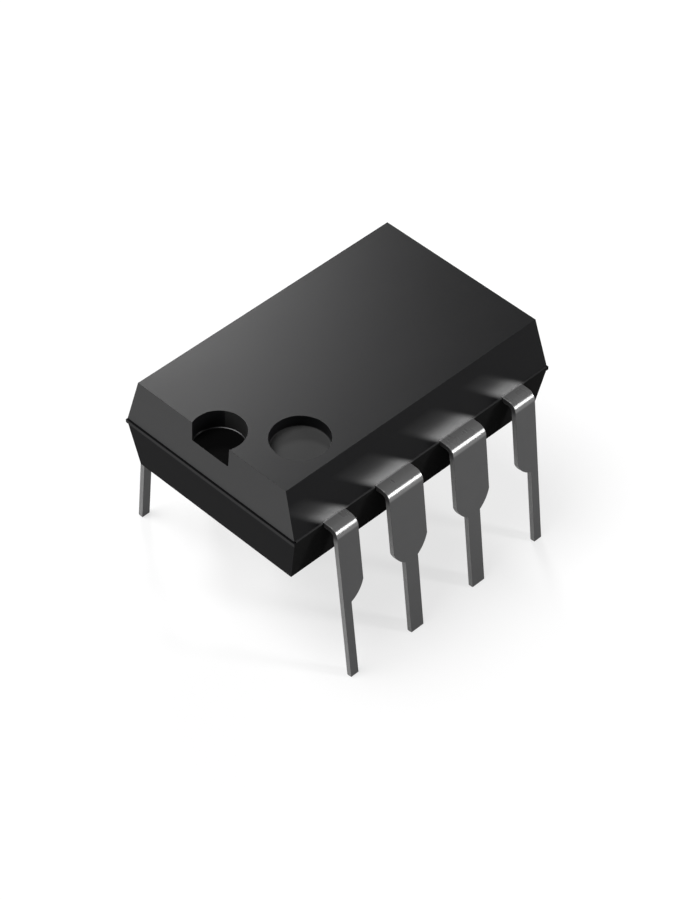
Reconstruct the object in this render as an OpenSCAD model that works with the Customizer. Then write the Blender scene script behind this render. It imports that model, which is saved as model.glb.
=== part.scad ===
// Eight-lead dual in-line package in millimetres, +Z up.
// A moulded body closes over a stamped and formed lead frame that carries a wire-bonded die.
// The origin is under the middle of the body, on the plane that the lead tips stand on.
// The notch is at the -X end. Lead 1 is the -X lead of the -Y row, and the count runs on from
// there along that row and back along the +Y row, so lead 8 stands opposite lead 1.

/* [Moulded body] */
// Length of the body at its parting line, without the band
body_length = 10.08; // [9.8:0.02:10.6]
// Width of the body at its parting line, without the band
body_width = 6.83; // [6.5:0.01:7.1]
// Height of the body above the parting band
upper_height = 1.58; // [1.4:0.02:1.9]
// Height of the body below the parting band
lower_height = 1.52; // [1.2:0.02:1.9]
// Draft of the two end faces above the band, in degrees
upper_end_draft = 4; // [1:0.5:8]
// Draft of the two long faces above the band, in degrees
upper_side_draft = 15; // [8:0.5:18]
// Draft of the two end faces below the band, in degrees
lower_end_draft = 5; // [1:0.5:8]
// Draft of the two long faces below the band, in degrees
lower_side_draft = 11; // [5:0.5:16]
// Height of the band that the mould's parting line leaves
band_height = 0.2; // [0.1:0.01:0.3]
// How far the parting band stands out of the faces
band_proud = 0.04; // [0.02:0.01:0.1]

/* [Marks in the body] */
// Radius of the notch in the lead 1 end
notch_radius = 0.81; // [0.6:0.01:1]
// Distance from the end edge of the top in to the notch's centre
notch_setback = 0.3; // [0:0.05:0.5]
// Depth of the notch below the top
notch_depth = 0.64; // [0.3:0.02:0.9]
// Radius of the round dimple beside lead 1
dimple_radius = 0.88; // [0.5:0.01:1]
// Depth of the dimple below the top
dimple_depth = 0.41; // [0.1:0.01:0.6]
// Distance from the end edge of the top in to the dimple's centre
dimple_from_end = 1.71; // [1.4:0.01:2]
// Distance from the long edge of the top in to the dimple's centre
dimple_from_side = 1.22; // [1.1:0.01:1.4]
// Radius of the ejector-pin marks in the underside
ejector_radius = 0.7; // [0.5:0.05:0.9]
// Depth of the ejector-pin marks
ejector_depth = 0.06; // [0.02:0.01:0.15]
// Distance between the centres of the two ejector-pin marks
ejector_spacing = 5.6; // [4:0.1:6.4]

/* [Leads outside the body] */
// Distance from one lead to the next along a row
lead_pitch = 2.54; // [2.5:0.01:2.6]
// Thickness of the lead-frame sheet
lead_thickness = 0.2; // [0.16:0.01:0.25]
// Distance from a long face at the parting line out to the corner of the bends
shoulder_reach = 0.545; // [0.45:0.005:0.75]
// Inside radius of the bend
bend_radius = 0.1; // [0.05:0.01:0.15]
// Angle by which the legs spread outwards, in degrees
splay = 6; // [0:0.5:8]
// Width of the wide part of a middle lead
wide_width = 1.33; // [1.2:0.01:1.6]
// Length of the wide part of a leg, from the bend down
wide_length = 1.99; // [1.7:0.01:2.3]
// Radius of the rounded shoulder under the wide part
shoulder_radius = 0.56; // [0.5:0.01:0.6]
// Length of a leg below its wide part, along the leg
tip_length = 3.28; // [2.8:0.02:3.8]
// Width of the tips of the four middle leads
tip_width = 0.5; // [0.4:0.01:0.6]
// Width of the tips of the four end leads
end_tip_width = 0.3; // [0.28:0.01:0.5]

/* [Lead frame inside the body] */
// How far the wide part of a lead reaches into the body
root_depth = 0.85; // [0.7:0.05:1]
// Diameter of the hole in each root, through which the resin locks it
lock_hole = 0.36; // [0.2:0.02:0.5]
// Width of the fingers that run from the roots towards the die
finger_width = 0.5; // [0.3:0.02:0.6]
// Gap between a finger and the paddle or its tie bars
finger_gap = 0.25; // [0.2:0.01:0.35]
// Distance from the middle of the frame to the centre of a middle lead's fingertip
fingertip_offset = 0.75; // [0.6:0.05:0.9]
// Length of the stretch of an end lead's finger that runs beside the paddle
finger_return = 0.75; // [0.6:0.05:0.9]
// Length of the paddle that carries the die
paddle_length = 3.4; // [2.8:0.05:3.6]
// Width of the paddle
paddle_width = 2.3; // [2:0.05:2.6]
// Depth of the paddle below the plane of the leads
paddle_drop = 0.25; // [0.1:0.01:0.4]
// Width of the two tie bars that held the paddle in the frame
tie_width = 0.6; // [0.4:0.02:0.7]
// Length over which a tie bar slopes down to the paddle
tie_slope = 0.4; // [0.3:0.02:0.6]
// Thickness of the resin over the cut end of each tie bar
tie_cover = 0.3; // [0.1:0.02:0.6]

/* [Die] */
// Length of the die
die_length = 1.9; // [1.6:0.05:2.4]
// Width of the die
die_width = 1.6; // [1.3:0.05:1.8]
// Thickness of the die
die_height = 0.3; // [0.2:0.01:0.4]
// Thickness of the layer that bonds the die to the paddle
attach_thickness = 0.03; // [0.02:0.005:0.05]
// How far that layer squeezes out around the die
attach_margin = 0.08; // [0.04:0.01:0.15]

/* [Bond wires] */
// Diameter of a bond wire
wire_diameter = 0.04; // [0.03:0.005:0.06]
// Diameter of the ball at the die end of a wire
ball_diameter = 0.1; // [0.08:0.01:0.13]
// Height of the ball
ball_height = 0.03; // [0.02:0.005:0.05]
// Height to which a wire rises straight above the die
loop_rise = 0.22; // [0.15:0.01:0.35]
// Radius of the loop at the centre line of a wire
loop_radius = 0.1; // [0.06:0.01:0.15]
// Distance from the edges of the die in to the bond pads
pad_inset = 0.12; // [0.08:0.01:0.2]
// Distance from the middle of the die along an edge to a bond pad
pad_offset = 0.4; // [0.3:0.02:0.5]
// Distance from the end of a finger back to the foot of its wire
stitch_inset = 0.15; // [0.1:0.01:0.25]

/* [Hidden] */
$fn = 48;
past = 1; // how far a cutting solid runs past the face that it cuts
row_count = 4;
lead_count = 2 * row_count;

// The body's faces, measured from the middle of the parting band
half_band = band_height / 2;
top_z = half_band + upper_height;
underside_z = -half_band - lower_height;
upper_end_inset = upper_height * tan(upper_end_draft);
upper_side_inset = upper_height * tan(upper_side_draft);
lower_end_inset = lower_height * tan(lower_end_draft);
lower_side_inset = lower_height * tan(lower_side_draft);
top_half_length = body_length / 2 - upper_end_inset;
top_half_width = body_width / 2 - upper_side_inset;

// The bend turns about a line below the sheet, and ends where the leg's straight part starts
outer_bend_radius = bend_radius + lead_thickness;
bend_angle = 90 - splay;
bend_y = body_width / 2 + shoulder_reach - outer_bend_radius * (1 - sin(splay)) / cos(splay);
bend_z = -lead_thickness / 2 - bend_radius;
leg_length = wide_length + tip_length;
parting_z = leg_length * cos(splay) - bend_radius * sin(splay) - bend_z;

// The lead frame's plan
half_wide = wide_width / 2;
end_lead_x = -lead_pitch * (row_count - 1) / 2;
middle_lead_x = end_lead_x + lead_pitch;
root_end_y = -(body_width / 2 - root_depth);
hole_y = -(body_width - root_depth) / 2;
side_fingertip_y = -(paddle_width / 2 + finger_gap);
end_fingertip_y = -(tie_width / 2 + finger_gap);
end_finger_x = -(paddle_length / 2 + finger_gap + finger_width / 2);
finger_elbow_y = end_fingertip_y - finger_return;

// The stack on the paddle
paddle_top_z = lead_thickness / 2 - paddle_drop;
die_bottom_z = paddle_top_z + attach_thickness;
die_top_z = die_bottom_z + die_height;

// Section of the body, from the half width at the parting line and the insets of its two drafts
function section(half, upper_inset, lower_inset) = [
    [-half, -half_band], [-half + lower_inset, underside_z],
    [half - lower_inset, underside_z], [half, -half_band],
    [half, half_band], [half - upper_inset, top_z],
    [-half + upper_inset, top_z], [-half, half_band]
];

// The outer half width of a lead: an end lead is cut straight down on its outer side
function outer_half(is_end) = is_end ? end_tip_width / 2 : half_wide;
function tip_half(is_end) = is_end ? end_tip_width / 2 : tip_width / 2;

// Everything is modelled about the parting plane and lifted so that the tips stand on Z = 0
module lifted() {
    translate([0, 0, parting_z]) children();
}

// Leads 1 and 2 are modelled, and the others are their mirror images and half turns
module at_place(number) {
    in_row = (number - 1) % row_count;
    rotate([0, 0, number > row_count ? 180 : 0])
        mirror([in_row < row_count / 2 ? 0 : 1, 0, 0]) children();
}

function is_end(number) = (number - 1) % row_count == 0 || number % row_count == 0;

module moulded_block() {
    intersection() {
        rotate([90, 0, 0])
            linear_extrude(body_width + past, center = true)
                polygon(section(body_length / 2, upper_end_inset, lower_end_inset));
        rotate([90, 0, 90])
            linear_extrude(body_length + past, center = true)
                polygon(section(body_width / 2, upper_side_inset, lower_side_inset));
    }
    cube([body_length + 2 * band_proud, body_width + 2 * band_proud, band_height], center = true);
}

// The notch breaks out through the sloped end face, and the dimple stays clear of the edges
module top_marks() {
    translate([-top_half_length + notch_setback, 0, top_z - notch_depth])
        cylinder(r = notch_radius, h = notch_depth + past);
    translate([dimple_from_end - top_half_length, dimple_from_side - top_half_width, top_z - dimple_depth])
        cylinder(r = dimple_radius, h = dimple_depth + past);
}

module ejector_marks() {
    for (side = [-1, 1])
        translate([side * ejector_spacing / 2, 0, underside_z - past])
            cylinder(r = ejector_radius, h = past + ejector_depth);
}

module package_body() {
    color("#3a3a3c")
        lifted()
            difference() {
                moulded_block();
                top_marks();
                ejector_marks();
                for (number = [1:lead_count])
                    at_place(number) {
                        lead_shape(is_end(number));
                        wire_shape(is_end(number));
                    }
                paddle_shape();
                attach_shape();
                die_shape();
            }
}

// Plan of the flat part of lead 1: a wide root, then a finger that turns in beside the paddle
module end_lead_plan() {
    outer_x = end_lead_x - outer_half(true);
    inner_x = end_lead_x + half_wide;
    difference() {
        polygon([
            [outer_x, -bend_y], [inner_x, -bend_y], [inner_x, root_end_y],
            [end_finger_x + finger_width / 2, finger_elbow_y],
            [end_finger_x + finger_width / 2, end_fingertip_y],
            [end_finger_x - finger_width / 2, end_fingertip_y],
            [end_finger_x - finger_width / 2, finger_elbow_y + finger_width / 2],
            [inner_x - finger_width, root_end_y], [outer_x, root_end_y]
        ]);
        translate([(outer_x + inner_x) / 2, hole_y]) circle(d = lock_hole);
    }
}

// Plan of the flat part of lead 2: a wide root, then a finger that slants to the paddle's side
module middle_lead_plan() {
    difference() {
        polygon([
            [middle_lead_x - half_wide, -bend_y], [middle_lead_x + half_wide, -bend_y],
            [middle_lead_x + half_wide, root_end_y], [middle_lead_x + finger_width / 2, root_end_y],
            [-fingertip_offset + finger_width / 2, side_fingertip_y],
            [-fingertip_offset - finger_width / 2, side_fingertip_y],
            [middle_lead_x - finger_width / 2, root_end_y], [middle_lead_x - half_wide, root_end_y]
        ]);
        translate([middle_lead_x, hole_y]) circle(d = lock_hole);
    }
}

// Front view of a leg, with its top at Y = 0: the wide part, the rounded shoulders and the tip
module leg_outline(is_end) {
    outer = outer_half(is_end);
    tip = tip_half(is_end);
    translate([-outer, -wide_length]) square([outer + half_wide, wide_length]);
    intersection() {
        for (side = is_end ? [1] : [-1, 1])
            translate([side * (half_wide - shoulder_radius), -wide_length]) circle(shoulder_radius);
        translate([-outer, -wide_length - shoulder_radius])
            square([outer + half_wide, shoulder_radius]);
    }
    translate([-tip, -leg_length]) square([2 * tip, tip_length]);
}

module lead_shape(is_end) {
    outer = outer_half(is_end);
    translate([0, 0, -lead_thickness / 2])
        linear_extrude(lead_thickness) {
            if (is_end) end_lead_plan();
            else middle_lead_plan();
        }
    translate([is_end ? end_lead_x : middle_lead_x, -bend_y, bend_z]) {
        rotate([180, -90, 0])
            rotate_extrude(angle = bend_angle)
                translate([bend_radius, -outer]) square([lead_thickness, outer + half_wide]);
        rotate([bend_angle, 0, 0])
            translate([0, 0, bend_radius]) linear_extrude(lead_thickness) leg_outline(is_end);
    }
}

module lead(number) {
    color("#8f9092") lifted() at_place(number) lead_shape(is_end(number));
}

// The paddle hangs below the leads on two tie bars, which were cut short of the end faces
module paddle_shape() {
    half = paddle_length / 2;
    bar_end = body_length / 2 - tie_cover;
    face = lead_thickness / 2;
    translate([0, 0, -paddle_drop]) cube([paddle_length, paddle_width, lead_thickness], center = true);
    rotate([90, 0, 0])
        linear_extrude(tie_width, center = true)
            polygon([
                [-bar_end, face], [-half - tie_slope, face], [-half, face - paddle_drop],
                [half, face - paddle_drop], [half + tie_slope, face], [bar_end, face],
                [bar_end, -face], [half + tie_slope, -face], [half, -face - paddle_drop],
                [-half, -face - paddle_drop], [-half - tie_slope, -face], [-bar_end, -face]
            ]);
}

module die_paddle() {
    color("#b9875a") lifted() paddle_shape();
}

module attach_shape() {
    translate([0, 0, paddle_top_z + attach_thickness / 2])
        cube([die_length + 2 * attach_margin, die_width + 2 * attach_margin, attach_thickness], center = true);
}

module die_attach() {
    color("#c9c9c4") lifted() attach_shape();
}

module die_shape() {
    translate([0, 0, die_bottom_z + die_height / 2])
        cube([die_length, die_width, die_height], center = true);
}

module silicon_die() {
    color("#56606e") lifted() die_shape();
}

// A wire rises from its ball, turns over in an arc and runs straight down to the finger.
// The straight part is tangent to the arc, and its foot is cut flush with the finger's face.
module wire_shape(is_end) {
    pad = is_end ? [pad_inset - die_length / 2, -pad_offset] : [-pad_offset, pad_inset - die_width / 2];
    foot = is_end
        ? [end_finger_x, end_fingertip_y - stitch_inset]
        : [-fingertip_offset, side_fingertip_y - stitch_inset];
    reach = foot - pad;
    span = norm(reach) - loop_radius;
    fall = loop_rise + die_top_z - lead_thickness / 2;
    straight = sqrt(span * span + fall * fall - loop_radius * loop_radius);
    slope = atan2(fall, span) + asin(loop_radius / norm([span, fall]));
    translate([pad[0], pad[1], die_top_z]) {
        cylinder(d = ball_diameter, h = ball_height, $fn = 24);
        rotate([90, 0, atan2(reach[1], reach[0])]) {
            rotate([-90, 0, 0]) cylinder(d = wire_diameter, h = loop_rise, $fn = 24);
            translate([loop_radius, loop_rise])
                rotate([0, 0, 90 - slope]) {
                    rotate_extrude(angle = 90 + slope)
                        translate([loop_radius, 0]) circle(d = wire_diameter, $fn = 24);
                    difference() {
                        translate([loop_radius, 0])
                            rotate([90, 0, 0])
                                cylinder(d = wire_diameter, h = straight + past / 2, $fn = 24);
                        rotate([0, 0, slope - 90])
                            translate([-loop_radius, -fall - past, -past])
                                cube([norm(reach) + past, past, 2 * past]);
                    }
                }
        }
    }
}

module bond_wire(number) {
    color("#d9b24a") lifted() at_place(number) wire_shape(is_end(number));
}

package_body();
for (number = [1:lead_count]) {
    lead(number);
    bond_wire(number);
}
die_paddle();
die_attach();
silicon_die();
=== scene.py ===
"""Looks of an eight-lead dual in-line package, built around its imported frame.

The moulded body and the eight leads are modelled again here with the small radii that moulding,
stamping and plating leave, and they stand for their nodes. The pieces inside the resin keep the
nodes' own shapes and get their finishes. Meshes are worked in millimetres about the parting plane
and brought to metres, in place, as the last step.
"""

from __future__ import annotations

import logging
import math
from collections.abc import Callable, Iterable
from dataclasses import dataclass, field
from enum import Enum

import bmesh
import bpy
from mathutils import Matrix, Quaternion, Vector

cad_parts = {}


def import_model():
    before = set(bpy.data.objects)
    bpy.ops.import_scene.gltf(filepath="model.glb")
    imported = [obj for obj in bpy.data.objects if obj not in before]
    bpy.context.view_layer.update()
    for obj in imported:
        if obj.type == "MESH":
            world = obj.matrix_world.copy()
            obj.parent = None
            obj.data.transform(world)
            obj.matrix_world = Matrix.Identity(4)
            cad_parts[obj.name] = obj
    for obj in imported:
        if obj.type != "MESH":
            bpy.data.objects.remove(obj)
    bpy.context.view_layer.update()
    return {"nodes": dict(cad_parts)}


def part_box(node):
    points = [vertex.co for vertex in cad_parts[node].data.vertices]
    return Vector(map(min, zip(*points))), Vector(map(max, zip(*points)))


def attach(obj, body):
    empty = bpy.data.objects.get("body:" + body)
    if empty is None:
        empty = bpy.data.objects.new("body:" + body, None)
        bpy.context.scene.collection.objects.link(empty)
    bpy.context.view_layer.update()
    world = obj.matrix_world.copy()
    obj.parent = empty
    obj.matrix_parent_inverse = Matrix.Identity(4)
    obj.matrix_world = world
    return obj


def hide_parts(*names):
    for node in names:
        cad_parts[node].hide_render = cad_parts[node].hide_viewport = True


LOG = logging.getLogger("package")
Triple = tuple[float, float, float]
Colour = Triple

# One millimetre in metres, and small lengths in millimetres: the distance at which points merge,
# the overlap of a cutter, the height within which a face lies on a plane, the distance at which
# the bent rows of a blank merge, and the distance at which a point lies on a cut.
MM = 0.001
MERGE_DISTANCE = 0.0005
SLIVER = 0.002
ON_PLANE = 0.001
ROW_DISTANCE = 1e-5
CUT_DISTANCE = 1e-6

# How much of a face's normal lies along an axis, at least, where the face is level, is square to
# the axis, is nearly square to it, leans to it, faces it more than the others, or just faces it.
LEVEL = 0.99
SQUARE = 0.9
NEARLY_SQUARE = 0.8
LEANING = 0.6
MAINLY = 0.5
BARELY = 0.05

# The least turns at an edge, in degrees, at which faces stop being one plane, and at which the
# shading breaks.
FLAT_TURN = 1.0
SHARP_TURN = 50.0


def grey(level: float) -> Colour:
    """Gives an even grey."""
    return (level, level, level)


# Node graphs


@dataclass(frozen=True)
class Signal:
    """The output socket of a node, on which arithmetic adds Math nodes.

    Attributes:
        graph: The graph that the node is in.
        socket: The output, which a node that ends a graph doesn't have.
    """

    graph: Graph
    socket: bpy.types.NodeSocket | None

    def _math(self, operation: str, *values: Signal | float) -> Signal:
        """Adds a Math node with these values in its sockets, in order."""
        return self.graph.node("ShaderNodeMath", {"operation": operation}, dict(enumerate(values)))

    def __add__(self, other: Signal | float) -> Signal:
        """Adds another value to this one."""
        return self._math("ADD", self, other)

    def __radd__(self, other: float) -> Signal:
        """Adds this value to a number."""
        return self._math("ADD", other, self)

    def __sub__(self, other: Signal | float) -> Signal:
        """Takes another value from this one."""
        return self._math("SUBTRACT", self, other)

    def __rsub__(self, other: float) -> Signal:
        """Takes this value from a number."""
        return self._math("SUBTRACT", other, self)

    def __mul__(self, other: Signal | float) -> Signal:
        """Multiplies this value by another one."""
        return self._math("MULTIPLY", self, other)

    def __rmul__(self, other: float) -> Signal:
        """Multiplies a number by this value."""
        return self._math("MULTIPLY", other, self)

    def sign(self) -> Signal:
        """Gives 1 where this value is above 0, and -1 where it is below."""
        return self._math("SIGN", self)

    def clamped(self) -> Signal:
        """Keeps this value from 0 to 1."""
        return self._math("MINIMUM", self._math("MAXIMUM", self, 0.0), 1.0)

    def fraction(self) -> Signal:
        """Gives what this value has over the next whole number below it."""
        return self._math("FRACT", self)

    def beside(self, output: str) -> Signal:
        """Gives another output of the same node, by name."""
        return Signal(self.graph, self.socket.node.outputs[output])


class Graph:
    """The node tree of one material or world, emptied and ready for its nodes."""

    def __init__(self, owner: bpy.types.Material | bpy.types.World) -> None:
        """Takes over the owner's node tree.

        Args:
            owner: The material or world that the nodes dress.
        """
        owner.use_nodes = True
        self.tree = owner.node_tree
        self.tree.nodes.clear()

    def node(
        self,
        kind: str,
        settings: dict[str, object] | None = None,
        sockets: dict[str | int, object] | None = None,
        output: str | int = 0,
    ) -> Signal:
        """Adds a node of any type.

        Args:
            kind: The node's type name.
            settings: Its own settings, set before its sockets. "stops" gives a ramp's stops.
            sockets: A value or a Signal for each input, by name or place.
            output: The output that is returned, by name or place.

        Returns:
            The chosen output.
        """
        made = self.tree.nodes.new(kind)
        for name, value in (settings or {}).items():
            if name == "stops":
                self._set_stops(made.color_ramp, value)
            else:
                setattr(made, name, value)
        for name, value in (sockets or {}).items():
            if isinstance(value, Signal):
                self.tree.links.new(value.socket, made.inputs[name])
            else:
                made.inputs[name].default_value = value
        return Signal(self, made.outputs[output] if made.outputs else None)

    @staticmethod
    def _set_stops(ramp: bpy.types.ColorRamp, stops: Iterable[tuple[float, Colour]]) -> None:
        """Gives a ramp its stops.

        Args:
            ramp: The ramp, which has two stops when it is new.
            stops: A place and a colour for each stop, in order.
        """
        for index, (place, colour) in enumerate(stops):
            stop = ramp.elements[index] if index < 2 else ramp.elements.new(place)
            stop.position = place
            stop.color = (*colour, 1.0)

    def place(self) -> Signal:
        """Gives the piece's own coordinates, in metres."""
        return self.node("ShaderNodeTexCoord", output="Object")

    def axes(self, at: Signal) -> tuple[Signal, Signal, Signal]:
        """Splits coordinates into X, Y and Z."""
        x = self.node("ShaderNodeSeparateXYZ", sockets={"Vector": at}, output="X")
        return x, x.beside("Y"), x.beside("Z")

    def scaled(self, at: Signal, grain: float, often: Triple = (1.0, 1.0, 1.0)) -> Signal:
        """Scales coordinates so that a grain in millimetres is 1, times a factor for each axis."""
        scale = tuple(factor / (grain * MM) for factor in often)
        return self.node("ShaderNodeMapping", sockets={"Vector": at, "Scale": scale})

    def noise(
        self, at: Signal, grain: float, detail: float = 2.0, often: Triple = (1.0, 1.0, 1.0)
    ) -> Signal:
        """Adds a noise from 0 to 1, with a grain in millimetres and so many finer layers."""
        sockets = {"Vector": self.scaled(at, grain, often), "Scale": 1.0, "Detail": detail}
        return self.node("ShaderNodeTexNoise", sockets=sockets, output="Fac")

    def step(self, value: Signal, low: float, high: float) -> Signal:
        """Gives 0 below one number, 1 above another, and a smooth change between them."""
        ends = {"Value": value, "From Min": low, "From Max": high}
        return self.node("ShaderNodeMapRange", {"interpolation_type": "SMOOTHSTEP"}, ends)

    def rise(self, length: Signal, low: float, high: float) -> Signal:
        """Does the same for a length, between two lengths in millimetres."""
        return self.step(length, low * MM, high * MM)

    def beyond(self, length: Signal, low: float, high: float) -> Signal:
        """Does the same for how far a length is from 0, on either side."""
        return self.step(length * length, (low * MM) ** 2, (high * MM) ** 2)

    def ramp(self, value: Signal, *stops: tuple[float, Colour]) -> Signal:
        """Turns a value to a colour through a ramp."""
        return self.node("ShaderNodeValToRGB", {"stops": stops}, {"Fac": value}, "Color")

    def blend(self, factor: Signal, low: Signal | Colour, high: Signal | Colour) -> Signal:
        """Mixes two colours, from the first one at 0 to the second one at 1."""
        start, end = ((*part, 1.0) if isinstance(part, tuple) else part for part in (low, high))
        return self.node("ShaderNodeMix", {"data_type": "RGBA"}, {0: factor, 6: start, 7: end}, 2)

    def bump(self, height: Signal, depth: float, under: Signal | None = None) -> Signal:
        """Turns a height to a normal, over another normal if there is one.

        Args:
            height: The height, from 0 to 1.
            depth: What a height of 1 stands for, in millimetres.
            under: The normal that it lies on.

        Returns:
            The normal.
        """
        sockets = {"Height": height, "Distance": depth * MM}
        if under is not None:
            sockets["Normal"] = under
        return self.node("ShaderNodeBump", sockets=sockets)

    def principled(
        self,
        colour: Signal,
        roughness: Signal,
        metallic: Signal | float = 0.0,
        gloss: float = 0.5,
        normal: Signal | None = None,
    ) -> Signal:
        """Adds the shader of a solid surface.

        Args:
            colour: Its colour.
            roughness: How dull it is.
            metallic: How far it is a metal to light.
            gloss: How strong its gloss is where it is no metal. 0.5 is that of clear plastic.
            normal: The normal that its relief gives, if it has any.

        Returns:
            The shader.
        """
        sockets = {"Base Color": colour, "Roughness": roughness, "Metallic": metallic}
        sockets["Specular IOR Level"] = gloss
        if normal is not None:
            sockets["Normal"] = normal
        return self.node("ShaderNodeBsdfPrincipled", sockets=sockets)

    def surface(self, shader: Signal) -> None:
        """Ends the material's nodes with its output."""
        self.node("ShaderNodeOutputMaterial", sockets={"Surface": shader})


# Finishes


@dataclass(frozen=True)
class Finish:
    """A finish that dresses pieces with one material.

    Attributes:
        name: The material's name.
    """

    name: str = "finish"

    def material(self) -> bpy.types.Material:
        """Makes the finish's material, once.

        Returns:
            The material.
        """
        if self.name not in bpy.data.materials:
            graph = Graph(bpy.data.materials.new(self.name))
            graph.surface(self.shader(graph))
        return bpy.data.materials[self.name]

    def shader(self, graph: Graph) -> Signal:
        """Adds the finish's nodes and gives its shader."""
        raise NotImplementedError


@dataclass(frozen=True)
class MouldedEpoxy(Finish):
    """Carbon-black epoxy resin with the fine grain of a spark-eroded mould.

    Attributes:
        colour: The colour where the resin is blackest.
        worn: The colour where filler shows at its face.
        roughness: How dull its gloss is.
        gloss: How strong its gloss is, where 0.5 is that of clear plastic.
        grain: The size of the mould's grain, in millimetres.
        speck: The size of the specks of filler, in millimetres.
        flow: The size of the flow marks, in millimetres.
        relief: The depth of the grain, in millimetres.
    """

    name: str = "moulded_epoxy"
    colour: Colour = (0.0055, 0.0055, 0.006)
    worn: Colour = (0.0085, 0.0085, 0.0092)
    roughness: float = 0.33
    gloss: float = 0.18
    grain: float = 0.035
    speck: float = 0.11
    flow: float = 2.2
    relief: float = 0.0011

    def shader(self, graph: Graph) -> Signal:
        """Adds a fine grain, and a slow change of colour and gloss where the resin flowed."""
        return self.resin(graph, self.gloss)

    def resin(self, graph: Graph, gloss: float, under: Signal | None = None) -> Signal:
        """Adds one resin shader.

        Args:
            graph: The material's nodes.
            gloss: How strong its gloss is.
            under: The normal that the grain lies on, if it isn't the surface's own.

        Returns:
            The shader.
        """
        at = graph.place()
        fine = graph.noise(at, self.grain, 3.0)
        filler = graph.noise(at, self.speck)
        flow = graph.noise(at, self.flow, 1.0, (1.0, 1.6, 1.0))
        # A noise is 0.5 in the mean, so 0.035 takes off what the two of them add.
        return graph.principled(
            graph.blend(0.55 * flow + 0.45 * filler, self.colour, self.worn),
            self.roughness + 0.03 * flow + 0.04 * filler - 0.035,
            gloss=gloss,
            normal=graph.bump(0.7 * fine + 0.3 * filler, self.relief, under),
        )


@dataclass(frozen=True)
class FlaredEpoxy(MouldedEpoxy):
    """The same resin, which shines as if it flared out a little where each lead leaves it.

    Attributes:
        foot: The height of the flares' foot, in millimetres.
        flare_height: How high they reach up the long faces, in millimetres.
        flare_depth: How far they seem to stand out at the foot, in millimetres.
        flare_gloss: How strong their gloss is.
        lean: How far they lean back, for each millimetre of height.
        pitch: The spacing of the leads, in millimetres.
        sides: The squares of the distances from a flare's middle between which it ends, where
            the pitch is 1.
        outer: The distances from the body's middle between which the outermost flares end.
    """

    foot: float = 5.53
    flare_height: float = 1.12
    flare_depth: float = 0.247
    flare_gloss: float = 0.43
    lean: float = 1.26
    pitch: float = 2.54
    sides: tuple[float, float] = (0.033, 0.106)
    outer: tuple[float, float] = (3.75, 4.12)

    def shader(self, graph: Graph) -> Signal:
        """Mixes the plain resin with the flared one.

        Args:
            graph: The material's nodes.

        Returns:
            The shader.
        """
        x, y, z = graph.axes(graph.place())
        climb = z - self.foot * MM
        fade = (1.0 - climb * (1 / (self.flare_height * MM))).clamped()
        along = self.lean * climb - x * y.sign()
        middle = (along * (1 / (self.pitch * MM))).fraction() - 0.5
        across = 1.0 - graph.step(middle * middle, *self.sides)
        across = across * (1.0 - graph.beyond(along, *self.outer))
        plain = self.resin(graph, self.gloss)
        flared = self.resin(graph, self.flare_gloss, graph.bump(fade * fade, self.flare_depth))
        return graph.node("ShaderNodeMixShader", sockets={0: fade * across, 1: plain, 2: flared})


@dataclass(frozen=True)
class TinPlate(Finish):
    """Satin tin plate on formed strip, a little brighter where the grains are coarse.

    Attributes:
        colour: The colour of the legs.
        bright: The colour of their coarse grains.
        lit_root_top: The colour of the roots' upper faces, painted paler for the light that falls
            on them.
        formed: The colour over the bends, painted paler to brighten their highlight.
        edge_highlight: The colour of the line along the resin, a painted highlight.
        metallic: How far the plate is a metal to light.
        roughness: How dull it is.
        grain: The size of its crystals, in millimetres.
        cloud: The size of its cloudy patches, in millimetres.
        streak: The width of the marks of the rolls, in millimetres.
        relief: The depth of the crystals, in millimetres.
        bend_shading_z: The heights between which the bends' painted highlight and lower roughness
            set in.
        lit_root_z: The heights between which the roots' painted light and lower metal set in.
        edge_highlight_y: The distances from the body's middle between which the painted highlight
            ends.
    """

    name: str = "tin_plate"
    colour: Colour = (0.056, 0.056, 0.0575)
    bright: Colour = grey(0.071)
    lit_root_top: Colour = grey(0.15)
    formed: Colour = grey(0.16)
    edge_highlight: Colour = grey(0.4)
    metallic: float = 0.95
    roughness: float = 0.35
    grain: float = 0.03
    cloud: float = 0.45
    streak: float = 0.06
    relief: float = 0.0005
    bend_shading_z: tuple[float, float] = (5.21, 5.31)
    lit_root_z: tuple[float, float] = (5.44, 5.48)
    edge_highlight_y: tuple[float, float] = (3.43, 3.47)

    def shader(self, graph: Graph) -> Signal:
        """Adds the plate's crystals, faint marks along the leads from rolling, and painted light
        over the bends, the roots' upper faces and a line along the resin.

        Args:
            graph: The material's nodes.

        Returns:
            The shader.
        """
        at = graph.place()
        crystals = graph.noise(at, self.grain, 3.0)
        clouds = graph.noise(at, self.cloud)
        rolled = graph.noise(at, self.streak, often=(1.0, 0.12, 0.08))
        _, y, z = graph.axes(at)
        # Painted highlight: a paler colour over the bends, which brightens the highlight along
        # them.
        bend = graph.rise(z, *self.bend_shading_z)
        # Painted light: the roots' upper faces are paler and less metal, for the light that falls
        # on them.
        root = graph.rise(z, *self.lit_root_z)
        leg = graph.blend(0.5 * crystals + 0.5 * clouds, self.colour, self.bright)
        # Painted highlight: a pale line on the roots' upper faces along the resin's edge.
        upper = graph.blend(graph.beyond(y, *self.edge_highlight_y), self.edge_highlight, self.lit_root_top)
        # A noise is 0.5 in the mean, so 0.055 takes off what the two of them add.
        return graph.principled(
            graph.blend(root, graph.blend(bend, leg, self.formed), upper),
            self.roughness + 0.08 * clouds + 0.03 * rolled - 0.055 - 0.07 * bend,
            self.metallic - 0.05 * clouds - 0.65 * root,
            normal=graph.bump(0.85 * crystals + 0.15 * rolled, self.relief),
        )


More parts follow.
